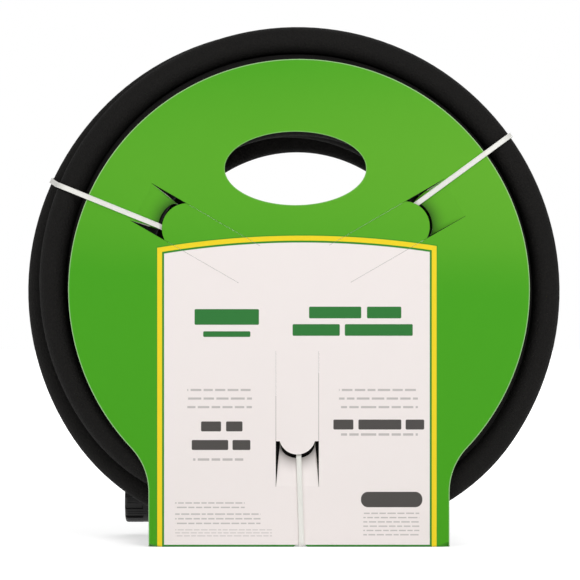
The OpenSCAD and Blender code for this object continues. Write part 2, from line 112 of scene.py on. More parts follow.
# Plain bars in place of words and numbers: ink, low, high, rounding, and the left and right end of
# each bar
BARS = [
    (DARK_GREEN, -20.0, -11.8, 0.9, [(7, 43.5), (47.5, 71.5)]),
    (DARK_GREEN, -32.2, -24.0, 0.9, [(-4.5, 28.5), (32, 79.5)]),
    (DARK_GREEN, -24.5, -13.5, 0.9, [(-73, -28)]),
    (DARK_GREEN, -33.0, -29.0, 0.9, [(-67, -34)]),
    (INK, -99.0, -92.0, 0.9, [(-68.5, -54.5), (-51, -39.5)]),
    (INK, -112.0, -105.0, 0.9, [(-75, -49.5), (-46.5, -34)]),
    (INK, -97.7, -90.7, 0.9, [(24, 38), (41.5, 71.5), (74.5, 87.5)]),
    (INK, -152.0, -141.2, 5.0, [(43.3, 86.2)])]
# Fine lines of print: left, right, low, high, distance between lines, inked share of it, length of
# a word
FINE_PRINT = [
    (-78.0, -33.0, -82.8, -68.0, 6.0, 0.25, 9.0), (28.0, 83.0, -82.8, -68.0, 6.0, 0.25, 9.0),
    (-74.0, -39.0, -119.5, -116.4, 6.0, 0.28, 9.0), (28.0, 83.0, -102.0, -99.4, 6.0, 0.28, 9.0),
    (-86.5, -38.0, -152.6, -148.0, 3.1, 0.3, 6.0), (-86.5, -27.0, -163.8, -156.0, 3.25, 0.3, 6.0),
    (-86.5, -19.0, -172.3, -167.0, 2.1, 0.25, 5.0), (45.0, 84.0, -171.7, -155.7, 3.0, 0.3, 6.0)]


# ---- small helpers ----
def unit(v):
    """Vectors scaled to length one, along the last axis."""
    return v / np.linalg.norm(v, axis=-1, keepdims=True)


def linear(code):
    """An sRGB hex colour as the linear RGBA that shaders take."""
    c = np.array([int(code[i:i + 2], 16) for i in (1, 3, 5)]) / 255
    c = np.where(c <= 0.04045, c / 12.92, ((c + 0.055) / 1.055) ** 2.4)
    return (*c.tolist(), 1.0)


def add(tree, kind, *links, **settings):
    """Adds a shader node: settings are its properties or, by socket name or number, its inputs.

    links are (input, output socket) pairs.
    """
    n = tree.nodes.new("ShaderNode" + kind)
    for key, value in settings.items():
        key = key.replace("__", " ")
        if hasattr(n, key):
            setattr(n, key, value)
        elif key.startswith("in_"):
            n.inputs[int(key[3:])].default_value = value
        else:
            n.inputs[key].default_value = value
    for key, socket in links:
        tree.links.new(socket, n.inputs[key])
    return n


def blank_material(name):
    """A material with an empty node tree, its Principled shader and its output."""
    m = bpy.data.materials.new(name)
    m.use_nodes = True
    m.node_tree.nodes.clear()
    shader = m.node_tree.nodes.new("ShaderNodeBsdfPrincipled")
    out = m.node_tree.nodes.new("ShaderNodeOutputMaterial")
    m.node_tree.links.new(shader.outputs[0], out.inputs[0])
    return m, m.node_tree, shader


def mesh_piece(name, points, faces, body="pack", materials=(), sharp=None):
    """A mesh from points in millimetres about the coil's middle and a list of faces.

    It is shaded smooth except across edges that turn by more than sharp degrees; 0 is flat.
    """
    mesh = bpy.data.meshes.new(name)
    mesh.from_pydata(((np.asarray(points) + COIL_MIDDLE) * MM).tolist(), [], faces)
    mesh.polygons.foreach_set("use_smooth", [sharp != 0] * len(mesh.polygons))
    mesh.update()
    if sharp:
        mesh.set_sharp_from_angle(angle=math.radians(sharp))
    o = bpy.data.objects.new(name, mesh)
    bpy.context.scene.collection.objects.link(o)
    for m in materials:
        mesh.materials.append(m)
    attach(o, body)
    return o


def grid_faces(rows, cols, wrap_rows=False):
    """Quads of a grid of points whose rows are rings, and may form a ring themselves."""
    i = np.arange(rows if wrap_rows else rows - 1)[:, None]
    j = np.arange(cols)[None, :]
    a = i * cols + j
    b = i * cols + (j + 1) % cols
    c = (i + 1) % rows * cols + (j + 1) % cols
    d = (i + 1) % rows * cols + j
    return np.stack([a, b, c, d], -1).reshape(-1, 4).tolist()


def end_faces(first, rows, cols):
    """The two faces that close a grid of points at its first and its last row."""
    last = first + (rows - 1) * cols
    return [list(range(first, first + cols))[::-1], list(range(last, last + cols))]


def run_lengths(p):
    """Distance along a line of points, from the first to each of them."""
    return np.concatenate([[0], np.cumsum(np.linalg.norm(np.diff(p, axis=0), axis=1))])


# ---- hose: the same windings as the source's, as one smooth tube ----
def coil_points(u):
    """Spiral radius falls by one pitch a turn from each peak, and depth climbs a layer at each
    reversal. u counts turns from the coil's inner start."""
    def rounded(t):
        """Size of t, its corner rounded over a quarter turn to both sides."""
        return np.where(abs(t) < 0.25, 0.125 + 2 * t * t, abs(t))

    def climb(t):
        """0 to 1 over half a turn."""
        return (1 + np.sin(TAU * np.clip(t, -0.25, 0.25))) / 2
    r = np.where(u < (FIRST_PEAK + VALLEY) / 2, COIL_R - PITCH * rounded(u - FIRST_PEAK),
                 np.where(u < (VALLEY + SECOND_PEAK) / 2, VALLEY_R + PITCH * rounded(u - VALLEY),
                          SECOND_PEAK_R - PITCH * rounded(u - SECOND_PEAK)))
    a = 360 * (u - FIRST_PEAK)
    low = abs(a - 360 * np.round(a / 360))
    flat = FLAT_DEPTH * np.cos(np.radians(90 * low / FLAT_ANGLE)) ** 2
    r = r - np.where(low < FLAT_ANGLE, flat, 0)
    y = PITCH * (-1.5 + climb(u - FIRST_PEAK) + climb(u - VALLEY) + climb(u - SECOND_PEAK))
    a = np.radians(a)
    return np.stack([-r * np.sin(a), y, -r * np.cos(a)], -1)


def smooth_curve(p, spacing):
    """Centripetal Catmull-Rom curve through points p[1] to p[-2], at about even spacing."""
    p = np.asarray(p, float)
    t = np.concatenate([[0], np.cumsum(np.sqrt(np.linalg.norm(np.diff(p, axis=0), axis=1)))])
    lengths = np.linalg.norm(np.diff(p, axis=0), axis=1)
    count = np.maximum(np.round(lengths / spacing), 1).astype(int)
    k = np.concatenate([np.full(count[i], i) for i in range(1, len(p) - 2)] + [[len(p) - 3]])
    f = np.concatenate([np.arange(count[i]) / count[i] for i in range(1, len(p) - 2)] + [[1.0]])
    x = (t[k] + f * (t[k + 1] - t[k]))[:, None]
    t0, t1, t2, t3 = (t[k + i][:, None] for i in (-1, 0, 1, 2))
    p0, p1, p2, p3 = (p[k + i] for i in (-1, 0, 1, 2))
    a1 = (t1 - x) / (t1 - t0) * p0 + (x - t0) / (t1 - t0) * p1
    a2 = (t2 - x) / (t2 - t1) * p1 + (x - t1) / (t2 - t1) * p2
    a3 = (t3 - x) / (t3 - t2) * p2 + (x - t2) / (t3 - t2) * p3
    b1 = (t2 - x) / (t2 - t0) * a1 + (x - t0) / (t2 - t0) * a2
    b2 = (t3 - x) / (t3 - t1) * a2 + (x - t1) / (t3 - t1) * a3
    return (t2 - x) / (t2 - t1) * b1 + (x - t1) / (t2 - t1) * b2


def hose_line():
    """Ring centres from the outlet's cut end, round the coil, to the inlet's cut end."""
    coil = coil_points(np.arange(0, COIL_END + 1e-6, 1 / RINGS_PER_TURN))
    straight_in = [INLET_END + [x, 0, 0] for x in (38, 19, 0, -19)]
    straight_out = [OUTLET_END - OUTLET_DIR * x for x in (24, 12, 0, -12)]
    # both curves start 12 rings inside the coil, to leave it in its own direction
    into = smooth_curve([coil[-13], coil[-1], *INLET_ROUTE, *straight_in], TAIL_SPACING)
    out = smooth_curve([coil[12], coil[0], *OUTLET_ROUTE, *straight_out], TAIL_SPACING)
    return np.concatenate([out[:0:-1], coil, into[1:]])


def tube_frames(line):
    """For each ring: the direction along, one near +Y across it, and the third."""
    along = unit(np.gradient(line, axis=0))
    side = unit(np.array([0, 1.0, 0]) - along * along[:, 1:2])
    return along, side, np.cross(along, side)


def hose_mesh(line):
    """A tube round the line with a bore in each end. Its radius is a little under HOSE_R, plus a
    wander that is oval across the hose and swings slowly along it."""
    along, side, up = tube_frames(line)
    a = np.arange(HOSE_SIDES) / HOSE_SIDES * TAU
    s = run_lengths(line)[:, None]
    wander = WANDER * np.sin(s / 37 + np.sin(s / 91)) * np.cos(2 * a + s / 160)

    def rings(c, side, up, r):
        """Points of circles round the places c."""
        return c[:, None, :] + r[..., None] * (side[:, None, :] * np.cos(a)[:, None]
                                               + up[:, None, :] * np.sin(a)[:, None])
    outer = rings(line, side, up, HOSE_R - 0.15 + wander)
    ends = []
    for k, sign in ((0, 1), (-1, -1)):
        inner = np.stack([line[k], line[k] + sign * GRIP * along[k]])
        ends.append(rings(inner, side[[k, k]], up[[k, k]], np.full((2, HOSE_SIDES), HOSE_BORE / 2)))
    all_rings = np.concatenate([ends[0][::-1], outer, ends[1]])
    faces = grid_faces(*all_rings.shape[:2]) + end_faces(0, *all_rings.shape[:2])
    return all_rings.reshape(-1, 3), faces


# ---- materials ----
def porous_rubber():
    """Porous hose, extruded from crumb rubber and polyethylene: dead matte black, rough with
    grains about 1 mm across and small pits that water seeps from, some grains a little greyer."""
    m, t, shader = blank_material("porous_crumb_rubber")
    where = add(t, "TexCoord").outputs["Object"]
    grain = add(t, "TexNoise", ("Vector", where), Scale=1100.0, Detail=4.0, Roughness=0.65)
    crumbs = add(t, "TexVoronoi", ("Vector", where), Scale=750.0)
    slow = add(t, "TexNoise", ("Vector", where), Scale=24.0, Detail=2.0)
    speckle = add(t, "MapRange", ("Value", grain.outputs["Fac"]), in_1=0.36, in_2=0.66)
    tone = add(t, "Mix", ("Factor", speckle.outputs[0]), data_type="RGBA",
               in_6=linear("#050404"), in_7=linear("#1a1816"))
    worn = add(t, "Mix", ("Factor", slow.outputs["Fac"]), (6, tone.outputs[2]),
               data_type="RGBA", in_7=linear("#0e0d0c"))
    height = add(t, "Math", (0, grain.outputs["Fac"]), (1, crumbs.outputs["Distance"]),
                 operation="ADD")
    bump = add(t, "Bump", ("Height", height.outputs[0]), Strength=0.7, Distance=0.0006)
    t.links.new(worn.outputs[2], shader.inputs["Base Color"])
    t.links.new(bump.outputs[0], shader.inputs["Normal"])
    shader.inputs["Roughness"].default_value = 0.85
    shader.inputs["Specular IOR Level"].default_value = 0.2
    return m


def moulded_plastic(name, dark, light, rough, shine=0.5):
    """Injection-moulded polypropylene: even colour, satin, with the mould's faint spark texture."""
    m, t, shader = blank_material(name)
    where = add(t, "TexCoord").outputs["Object"]
    spark = add(t, "TexNoise", ("Vector", where), Scale=1600.0, Detail=2.0)
    slow = add(t, "TexNoise", ("Vector", where), Scale=60.0, Detail=2.0)
    tone = add(t, "Mix", ("Factor", slow.outputs["Fac"]), data_type="RGBA",
               in_6=linear(dark), in_7=linear(light))
    bump = add(t, "Bump", ("Height", spark.outputs["Fac"]), Strength=0.2, Distance=0.0002)
    gloss = add(t, "MapRange", ("Value", slow.outputs["Fac"]), in_3=rough - 0.05,
                in_4=rough + 0.08)
    t.links.new(tone.outputs[2], shader.inputs["Base Color"])
    t.links.new(bump.outputs[0], shader.inputs["Normal"])
    t.links.new(gloss.outputs[0], shader.inputs["Roughness"])
    shader.inputs["Specular IOR Level"].default_value = shine
    return m


def printed_board():
    """Coated solid board, offset printed: bright green, a cream panel with an arched top inside a
    yellow and a dark green line, and plain bars where lettering would be. Satin, and slightly
    uneven in tone, with painted light and shade laid over the print. The print lies on the flat
    sheet, so it follows the folds."""
    m, t, shader = blank_material("printed_coated_board")
    uv = add(t, "UVMap", uv_map="flat").outputs[0]
    xz = add(t, "SeparateXYZ", (0, uv))
    x, z = xz.outputs[0], xz.outputs[1]

    def maths(operation, *values):
        """The result of a calculation on numbers and sockets."""
        n = add(t, "Math", operation=operation)
        for k, v in enumerate(values):
            if hasattr(v, "is_linked"):
                t.links.new(v, n.inputs[k])
            else:
                n.inputs[k].default_value = v
        return n.outputs[0]

    def box(x0, x1, z0, z1, rounding=0.0):
        """Distance outside a rectangle with rounded corners: length of how far a point lies past
        the inner rectangle, in each direction, less the rounding."""
        from_middle = add(t, "VectorMath", (0, uv), operation="SUBTRACT",
                          in_1=((x0 + x1) / 2 * MM, (z0 + z1) / 2 * MM, 0))
        positive = add(t, "VectorMath", (0, from_middle.outputs[0]), operation="ABSOLUTE")
        past = add(t, "VectorMath", (0, positive.outputs[0]), operation="SUBTRACT",
                   in_1=(((x1 - x0) / 2 - rounding) * MM, ((z1 - z0) / 2 - rounding) * MM, 0))
        outer = add(t, "VectorMath", (0, past.outputs[0]), operation="MAXIMUM", in_1=(0, 0, 0))
        length = add(t, "VectorMath", (0, outer.outputs[0]), operation="LENGTH")
        return maths("SUBTRACT", length.outputs[1], rounding * MM)

    def inside(distance, softness=0.12):
        """1 inside a shape, 0 outside, softened by the spread of the ink."""
        return add(t, "MapRange", ("Value", distance), in_1=softness * MM,
                   in_2=-softness * MM, in_3=0.0, in_4=1.0).outputs[0]

    def over(colour, ink, mask):
        """The colour with an ink laid over it where the mask is 1."""
        n = add(t, "Mix", ("Factor", mask), (6, colour), data_type="RGBA")
        if hasattr(ink, "is_linked"):
            t.links.new(ink, n.inputs[7])
        else:
            n.inputs[7].default_value = linear(ink)
        return n.outputs[2]

    slow = add(t, "TexNoise", ("Vector", uv), Scale=9.0, Detail=2.0)
    # painted light: the green is lightest in a band through the hand hole, a little lighter to the
    # right and darker towards the bottom, with a slow random unevenness in tone
    off_band = maths("POWER", maths("SUBTRACT", z, 0.087), 2.0)
    band = maths("SUBTRACT", 0.72, maths("MULTIPLY", off_band, 99.5))
    painted_light_and_tone = maths("ADD", maths("ADD", band, maths("MULTIPLY", x, 1.28)),
                  maths("MULTIPLY", maths("SUBTRACT", slow.outputs["Fac"], 0.5), 0.15))
    low = add(t, "MapRange", ("Value", z), in_1=-0.02, in_2=0.03)
    painted_light_and_tone = add(t, "Clamp", (0, maths("MULTIPLY", painted_light_and_tone, low.outputs[0]))).outputs[0]
    green = add(t, "Mix", ("Factor", painted_light_and_tone), data_type="RGBA",
                in_6=linear("#419b0f"), in_7=linear("#5ea823")).outputs[2]
    top = add(t, "VectorMath", (0, uv), operation="SUBTRACT")
    top.inputs[1].default_value = (ARCH[0] * MM, ARCH[1] * MM, 0)
    reach = add(t, "VectorMath", (0, top.outputs[0]), operation="LENGTH").outputs[1]
    panel = maths("MAXIMUM", maths("SUBTRACT", reach, ARCH[2] * MM),
                  maths("SUBTRACT", maths("ABSOLUTE", maths("SUBTRACT", x, PANEL_X * MM)),
                        PANEL_HALF * MM))
    fold = maths("SUBTRACT", FOLD_PRINT * MM, z)

    def ring(inset):
        """1 in the panel's shape, drawn in by a distance on every side."""
        return inside(maths("ADD", panel, inset * MM))
    colour = over(green, "#3f9420", ring(-0.8))
    colour = over(colour, "#edd122", ring(0.0))
    colour = over(colour, "#2f8426", ring(3.4))
    cream = maths("MULTIPLY", ring(4.8), inside(fold))
    colour = over(colour, "#ece4e2", cream)
    for ink, z0, z1, rounding, bars in BARS:
        for x0, x1 in bars:
            colour = over(colour, ink, inside(box(x0, x1, z0, z1, rounding)))
    for x0, x1, z0, z1, pitch, fill, word in FINE_PRINT:
        line_no = maths("DIVIDE", maths("SUBTRACT", z, z0 * MM), pitch * MM)
        row = maths("ABSOLUTE", maths("SUBTRACT", maths("FRACT", line_no), fill / 2))
        lines = inside(maths("SUBTRACT", maths("MULTIPLY", row, pitch * MM), fill / 2 * pitch * MM))
        place = maths("ADD", maths("DIVIDE", x, word * MM),
                      maths("MULTIPLY", maths("FLOOR", line_no), 7.3))
        words = add(t, "TexVoronoi", ("W", place), voronoi_dimensions="1D",
                    feature="DISTANCE_TO_EDGE", Scale=1.0, Randomness=0.8).outputs["Distance"]
        words = inside(maths("MULTIPLY", maths("SUBTRACT", 0.09, words), word * MM))
        blocks = maths("MULTIPLY", maths("MULTIPLY", inside(box(x0, x1, z0, z1)), lines), words)
        colour = over(colour, FINE_INK, blocks)
    # painted shade: thin dark lines along the die's straight cuts stand in for the shade in the
    # closed slits, and each strip's end is darkened as shade where it is pushed in under its
    # neighbours
    cuts, strip_end_shade = 0.0, 0.0
    for slot in SLOTS:
        c, d = math.cos(math.radians(slot.direction)), math.sin(math.radians(slot.direction))
        far = maths("ADD", maths("MULTIPLY", x, c), maths("MULTIPLY", z, d))
        off = maths("ABSOLUTE", maths("SUBTRACT", maths("MULTIPLY", z, c),
                                      maths("ADD", maths("MULTIPLY", x, d), slot.beside * MM)))
        line_off = maths("ABSOLUTE", maths("SUBTRACT", off, (TONGUE_W / 2 - SLIT / 2) * MM))
        from_half = maths("ABSOLUTE", maths("SUBTRACT", far, (slot.start + slot.root) / 2 * MM))
        ends = maths("SUBTRACT", from_half, (slot.root - slot.start) / 2 * MM)
        cut = inside(maths("MAXIMUM", maths("SUBTRACT", line_off, 0.16 * MM), ends), 0.06)
        cuts = maths("MAXIMUM", cuts, cut)
        from_tip = maths("SUBTRACT", far, (slot.tip - slot.tip_r) * MM)
        square = maths("ADD", maths("MULTIPLY", from_tip, from_tip), maths("MULTIPLY", off, off))
        past = maths("SUBTRACT", maths("SQRT", square), (slot.tip_r + slot.gap) * MM)
        short = maths("MAXIMUM", maths("SUBTRACT", 0.0, past), maths("SUBTRACT", 0.0, from_tip))
        strip = inside(maths("MAXIMUM", maths("SUBTRACT", off, TONGUE_W / 2 * MM), short), 0.2)
        near = add(t, "MapRange", ("Value", past), in_1=STRIP_SHADE_REACH * MM, in_2=0.0).outputs[0]
        strip_end_shade = maths("MAXIMUM", strip_end_shade, maths("MULTIPLY", strip, maths("POWER", near, 2.2)))
    # both masks darken the print as painted shade
    for amount, mask, ink in ((0.6, cuts, "#4a4a3c"), (0.75, strip_end_shade, "#5f5b58")):
        colour = add(t, "Mix", ("Factor", maths("MULTIPLY", mask, amount)), (6, colour),
                     data_type="RGBA", blend_type="MULTIPLY", in_7=linear(ink)).outputs[2]
    # painted highlight: a pale hair along the die-cut rim stands in for the lit cut edge
    rim = add(t, "Attribute", attribute_name="rim").outputs["Fac"]
    colour = over(colour, "#c3dcb2", maths("MULTIPLY", rim, 0.7))
    t.links.new(colour, shader.inputs["Base Color"])
    grain = add(t, "TexNoise", ("Vector", uv), Scale=700.0, Detail=3.0)
    bump = add(t, "Bump", ("Height", grain.outputs["Fac"]), Strength=0.08, Distance=0.0003)
    t.links.new(bump.outputs[0], shader.inputs["Normal"])
    gloss = add(t, "MapRange", ("Value", slow.outputs["Fac"]), in_3=0.42, in_4=0.52)
    t.links.new(gloss.outputs[0], shader.inputs["Roughness"])
    shader.inputs["Specular IOR Level"].default_value = 0.2
    return m


def paper_board(name, dark, light, scale):
    """Uncoated side or cut edge of solid board: pale, matt and fibrous."""
    m, t, shader = blank_material(name)
    where = add(t, "TexCoord").outputs["Object"]
    fibres = add(t, "TexNoise", ("Vector", where), Scale=scale, Detail=6.0, Roughness=0.7)
    tone = add(t, "Mix", ("Factor", fibres.outputs["Fac"]), data_type="RGBA",
               in_6=linear(dark), in_7=linear(light))
    bump = add(t, "Bump", ("Height", fibres.outputs["Fac"]), Strength=0.15, Distance=0.0003)
    t.links.new(tone.outputs[2], shader.inputs["Base Color"])
    t.links.new(bump.outputs[0], shader.inputs["Normal"])
    shader.inputs["Roughness"].default_value = 0.85
    return m


RUBBER = porous_rubber()
BLACK_PLASTIC = moulded_plastic("moulded_black_polypropylene", "#121111", "#1a1919", 0.42, 0.35)
PALE_PLASTIC = moulded_plastic("moulded_natural_polypropylene", "#cdc9bd", "#dbd8cd", 0.45)
SEAL_RUBBER = moulded_plastic("moulded_seal_rubber", "#262322", "#302d2b", 0.7)
NYLON = moulded_plastic("moulded_white_nylon", "#dbdad4", "#eae9e4", 0.33)
PRINTED = printed_board()
BOARD_BACK = paper_board("uncoated_grey_board", "#b3aea4", "#cbc7be", 260.0)
BOARD_EDGE = paper_board("cut_edge_of_board", "#a9c79a", "#d9e2cf", 900.0)


# ---- card: one sheet, worked out flat and then folded ----
FOLD_R = 1.2                         # radius of the folds, at the middle of the board
FOLD_LEN = FOLD_R * math.pi / 2
FRONT_Y, FLAP_Y = -(CARD_BACK + BOARD / 2), FLAP_FRONT + BOARD / 2
BASE_LEN = FLAP_Y - FRONT_Y - 2 * FOLD_R
FOLD_Z = CARD_LOW + BOARD / 2 + FOLD_R       # height at which the upright sheets start to fold


def arc(middle, radius, start, end, count):
    """Points of a circle from one angle to another, in degrees."""
    a = np.radians(np.linspace(start, end, count))
    return np.stack([middle[0] + radius * np.cos(a), middle[1] + radius * np.sin(a)], -1)


def sheet_outline():
    """The flat blank: round head, hollow curves, straight part, base and flap, anticlockwise."""
    side, reach = CARD_W / 2 + FILLET, CARD_R + FILLET
    drop = math.sqrt(reach ** 2 - side ** 2)
    low = math.degrees(math.atan2(-drop, side))
    bend = 90 - math.degrees(math.acos(drop / reach))
    foot = FOLD_Z - 2 * FOLD_LEN - BASE_LEN - (FLAP_H - BOARD / 2 - FOLD_R)
    w = CARD_W / 2
    flap_low = foot + FLAP_CORNER
    corners = np.concatenate([
        arc((0, 0), CARD_R, low, 180 - low, 200),
        arc((-side, -drop), FILLET, bend, 0, 24)[1:],
        arc((-w + FLAP_CORNER, flap_low), FLAP_CORNER, 180, 270, 14),
        arc((w - FLAP_CORNER, flap_low), FLAP_CORNER, 270, 360, 14),
        arc((side, -drop), FILLET, 180, 180 - bend, 24)[:-1]])
    # points are added on the long straights
    corners = np.concatenate([corners, corners[:1]])
    s = run_lengths(corners)
    long = np.nonzero(np.diff(s) > 12)[0]
    middle = [np.arange(s[k], s[k + 1], 6)[1:] for k in long]
    want = np.sort(np.concatenate([s[:-1], *middle]))
    return np.stack([np.interp(want, s, corners[:, k]) for k in (0, 1)], -1)


def off_loop(p, loop):
    """Distance of points from a closed loop: the least over its straight pieces."""
    a, step = loop, np.roll(loop, -1, axis=0) - loop
    rel = p[:, None] - a
    t = np.clip((rel * step).sum(-1) / (step * step).sum(-1), 0, 1)
    return np.linalg.norm(rel - t[..., None] * step, axis=-1).min(1)


def slot_outline(slot):
    """The cut round a tongue and its strip, along +X: two slits joined by the curved slot, where a
    tip narrower than its tongue leaves a shoulder on both sides."""
    w, inner, reach = TONGUE_W / 2, TONGUE_W / 2 - SLIT, slot.tip_r + slot.gap
    middle = slot.tip - slot.tip_r
    tongue = math.degrees(math.asin(slot.arc / slot.tip_r))
    strip = math.degrees(math.asin(inner / reach))
    shoulder = middle + math.sqrt(slot.tip_r ** 2 - slot.arc ** 2)
    corner = [[shoulder, inner]] if slot.arc < inner else np.empty((0, 2))
    return np.concatenate([
        [[slot.start, -w], [slot.root, -w], [slot.root, -inner]],
        arc((middle, 0), reach, -strip, strip, 25),
        [[slot.root, inner], [slot.root, w], [slot.start, w], [slot.start, inner]], corner,
        arc((middle, 0), slot.tip_r, tongue, -tongue, 25), np.multiply(corner, [1, -1]),
        [[slot.start, -inner]]]) + [0, slot.beside]


def turned(p, degrees):
    """Flat points turned about 0, anticlockwise."""
    a = math.radians(degrees)
    return p @ np.array([[math.cos(a), math.sin(a)], [-math.sin(a), math.cos(a)]])


def within(p, loops):
    """Even-odd test of points against closed loops."""
    odd = np.zeros(len(p), bool)
    for q in loops:
        a, b = q, np.roll(q, -1, axis=0)
        cross = (a[:, 1] > p[:, 1:2]) != (b[:, 1] > p[:, 1:2])
        with np.errstate(divide="ignore", invalid="ignore"):
            x = a[:, 0] + (p[:, 1:2] - a[:, 1]) / (b[:, 1] - a[:, 1]) * (b[:, 0] - a[:, 0])
        odd ^= (cross & (p[:, 0:1] < x)).sum(1) % 2 == 1
    return odd


def on_strip(flat, slot):
    """Place along and across a slot's axis, and how far each point lies past the strip's edge."""
    local = turned(flat, -slot.direction) - [0, slot.beside]
    far, across = local[:, 0], local[:, 1]
    reach = slot.tip_r + slot.gap
    edge = slot.tip - slot.tip_r + np.sqrt(np.maximum(reach ** 2 - across ** 2, 0))
    return far, across, far - edge


def folded(flat):
    """Flat points to places in space: round the two folds, over the strap's channel, and with the
    strips pressed in."""
    x, s = flat[:, 0].copy(), flat[:, 1]
    a = np.clip((FOLD_Z - s) / FOLD_R, 0, math.pi / 2)
    b = np.clip((FOLD_Z - FOLD_LEN - BASE_LEN - s) / FOLD_R, 0, math.pi / 2)
    run = np.clip(FOLD_Z - FOLD_LEN - s, 0, BASE_LEN)
    up = np.maximum(FOLD_Z - 2 * FOLD_LEN - BASE_LEN - s, 0)
    y = FRONT_Y + FOLD_R * (1 - np.cos(a)) + run + FOLD_R * np.sin(b)
    z = np.maximum(s, FOLD_Z) - FOLD_R * np.sin(a) + FOLD_R * (1 - np.cos(b)) + up
    edge = abs(x - (TIE_X - CARD_X))
    raised = BOARD_SEAT * np.clip((CHANNEL_W / 2 + 2 - edge) / 2, 0, 1)
    z = np.maximum(z, CARD_LOW + BOARD / 2 + raised)
    for slot in SLOTS:
        far, across, past = on_strip(flat, slot)
        half = TONGUE_W / 2 - SLIT
        depth = math.sqrt((slot.tip_r + slot.gap) ** 2 - half ** 2)
        length = slot.root - slot.tip + slot.tip_r - depth
        on = (far < slot.root - NEAR / 10) & (past > -NEAR) & (abs(across) < half + NEAR)
        tilt = math.asin((CARD_BACK - CREST - SOFT) / length)
        back = np.where(on, slot.root - far, 0) / length
        q = across / half
        # it bends from its root, and its corners draw in and curl under
        bend = back * (1.35 - 0.35 * back)
        lost = back ** 2 * length * (1 - math.cos(tilt))
        low, high = (amount * back ** power for amount, power in (slot.low, slot.high))
        inward = np.where(q < 0, low, -high) * abs(q) ** 3
        shift = turned(np.stack([lost, inward], -1), slot.direction)
        x += shift[:, 0]
        z += shift[:, 1]
        y += length * math.sin(tilt) * bend + CURL * back * q ** 4
    return np.stack([x + CARD_X, y, z + CARD_Z], -1)


def card_mesh():
    """Constrained triangulation of the flat blank, with rows of points along folds and strips."""
    hole = arc((0, 0), 1, 0, 360, 97)[:-1] * [HAND_W / 2, HAND_H / 2] + [HAND_X, HAND_UP]
    loops = [sheet_outline(), hole] + [turned(slot_outline(slot), slot.direction) for slot in SLOTS]
    edge = TIE_X - CARD_X
    columns = np.unique(np.concatenate([np.linspace(-CARD_W / 2, CARD_W / 2, 27), [
        edge - CHANNEL_W / 2 - 2, edge - CHANNEL_W / 2, edge - 1.5, edge, edge + 1.5,
        edge + CHANNEL_W / 2, edge + CHANNEL_W / 2 + 2]]))
    rows = np.concatenate([[FOLD_Z + 12, FOLD_Z + BOARD_SEAT],
                           np.linspace(FOLD_Z, FOLD_Z - FOLD_LEN, 11),
                           np.linspace(0, -BASE_LEN, 9)[1:-1] + FOLD_Z - FOLD_LEN,
                           np.linspace(0, -FOLD_LEN, 11) + FOLD_Z - FOLD_LEN - BASE_LEN,
                           [FOLD_Z - 2 * FOLD_LEN - BASE_LEN - BOARD_SEAT]])
    extra = [np.stack(np.meshgrid(columns, rows), -1).reshape(-1, 2)]
    for slot in SLOTS:
        far, across = np.meshgrid(np.arange(slot.tip - 9, slot.root, 1.2),
                                  np.linspace(-1, 1, 27) * (TONGUE_W / 2 - 0.6))
        local = np.stack([far, across], -1).reshape(-1, 2)
        middle = slot.tip - slot.tip_r
        from_middle = np.hypot(local[:, 0] - middle, local[:, 1])
        keep = (from_middle > slot.tip_r + slot.gap + 0.4) & (local[:, 0] > middle + 4)
        extra.append(turned(local[keep] + [0, slot.beside], slot.direction))
    # a second line just inside the rim of the blank and of the hand hole
    rims = []
    for q, inward in ((loops[0], RIM), (hole, -RIM)):
        along = unit(np.roll(q, -1, axis=0) - np.roll(q, 1, axis=0))
        rims.append(q + inward * np.stack([-along[:, 1], along[:, 0]], -1))
    points = np.concatenate(loops + rims + extra)
    edges, first = [], 0
    for q in loops + rims:
        k = np.arange(len(q))
        edges += np.stack([first + k, first + (k + 1) % len(q)], -1).tolist()
        first += len(q)
    verts, _, tris, _, _, _ = delaunay_2d_cdt(points.tolist(), edges, [], 0, 1e-4)
    flat = np.array([tuple(v) for v in verts])
    tris = np.array(tris)
    a, b, c = (flat[tris[:, k]] for k in range(3))
    area = (b[:, 0] - a[:, 0]) * (c[:, 1] - a[:, 1]) - (b[:, 1] - a[:, 1]) * (c[:, 0] - a[:, 0])
    keep = within((a + b + c) / 3, loops) & (abs(area) > 1e-5)
    # painted highlight: full along the blank's rim, weaker round the hand hole
    rim_highlight = (off_loop(flat, loops[0]) < 0.01) + 0.4 * (off_loop(flat, hole) < 0.01)
    return flat, tris[keep], rim_highlight


flat, tris, rim_highlight = card_mesh()
sheet = folded(flat)
card = mesh_piece("label_card_printed", sheet, tris.tolist(),
                  materials=[PRINTED, BOARD_BACK, BOARD_EDGE], sharp=0)
layer = card.data.uv_layers.new(name="flat")
vertex = np.zeros(len(card.data.loops), int)
card.data.loops.foreach_get("vertex_index", vertex)
layer.data.foreach_set("uv", (flat[vertex] * MM).astype(np.float32).ravel())
# the painted rim highlight goes to the print as an attribute
rim = card.data.attributes.new("rim", "FLOAT", "POINT")
rim.data.foreach_set("value", rim_highlight.astype(np.float32))
board = card.modifiers.new("board", "SOLIDIFY")
board.thickness, board.offset = BOARD * MM, 0.0
board.material_offset, board.material_offset_rim = 1, 2
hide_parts("label_card")

line = hose_line()
points, faces = hose_mesh(line)
hose = mesh_piece("hose", points, faces, materials=[RUBBER])
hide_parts("hose_coil", "inlet_tail", "outlet_tail")


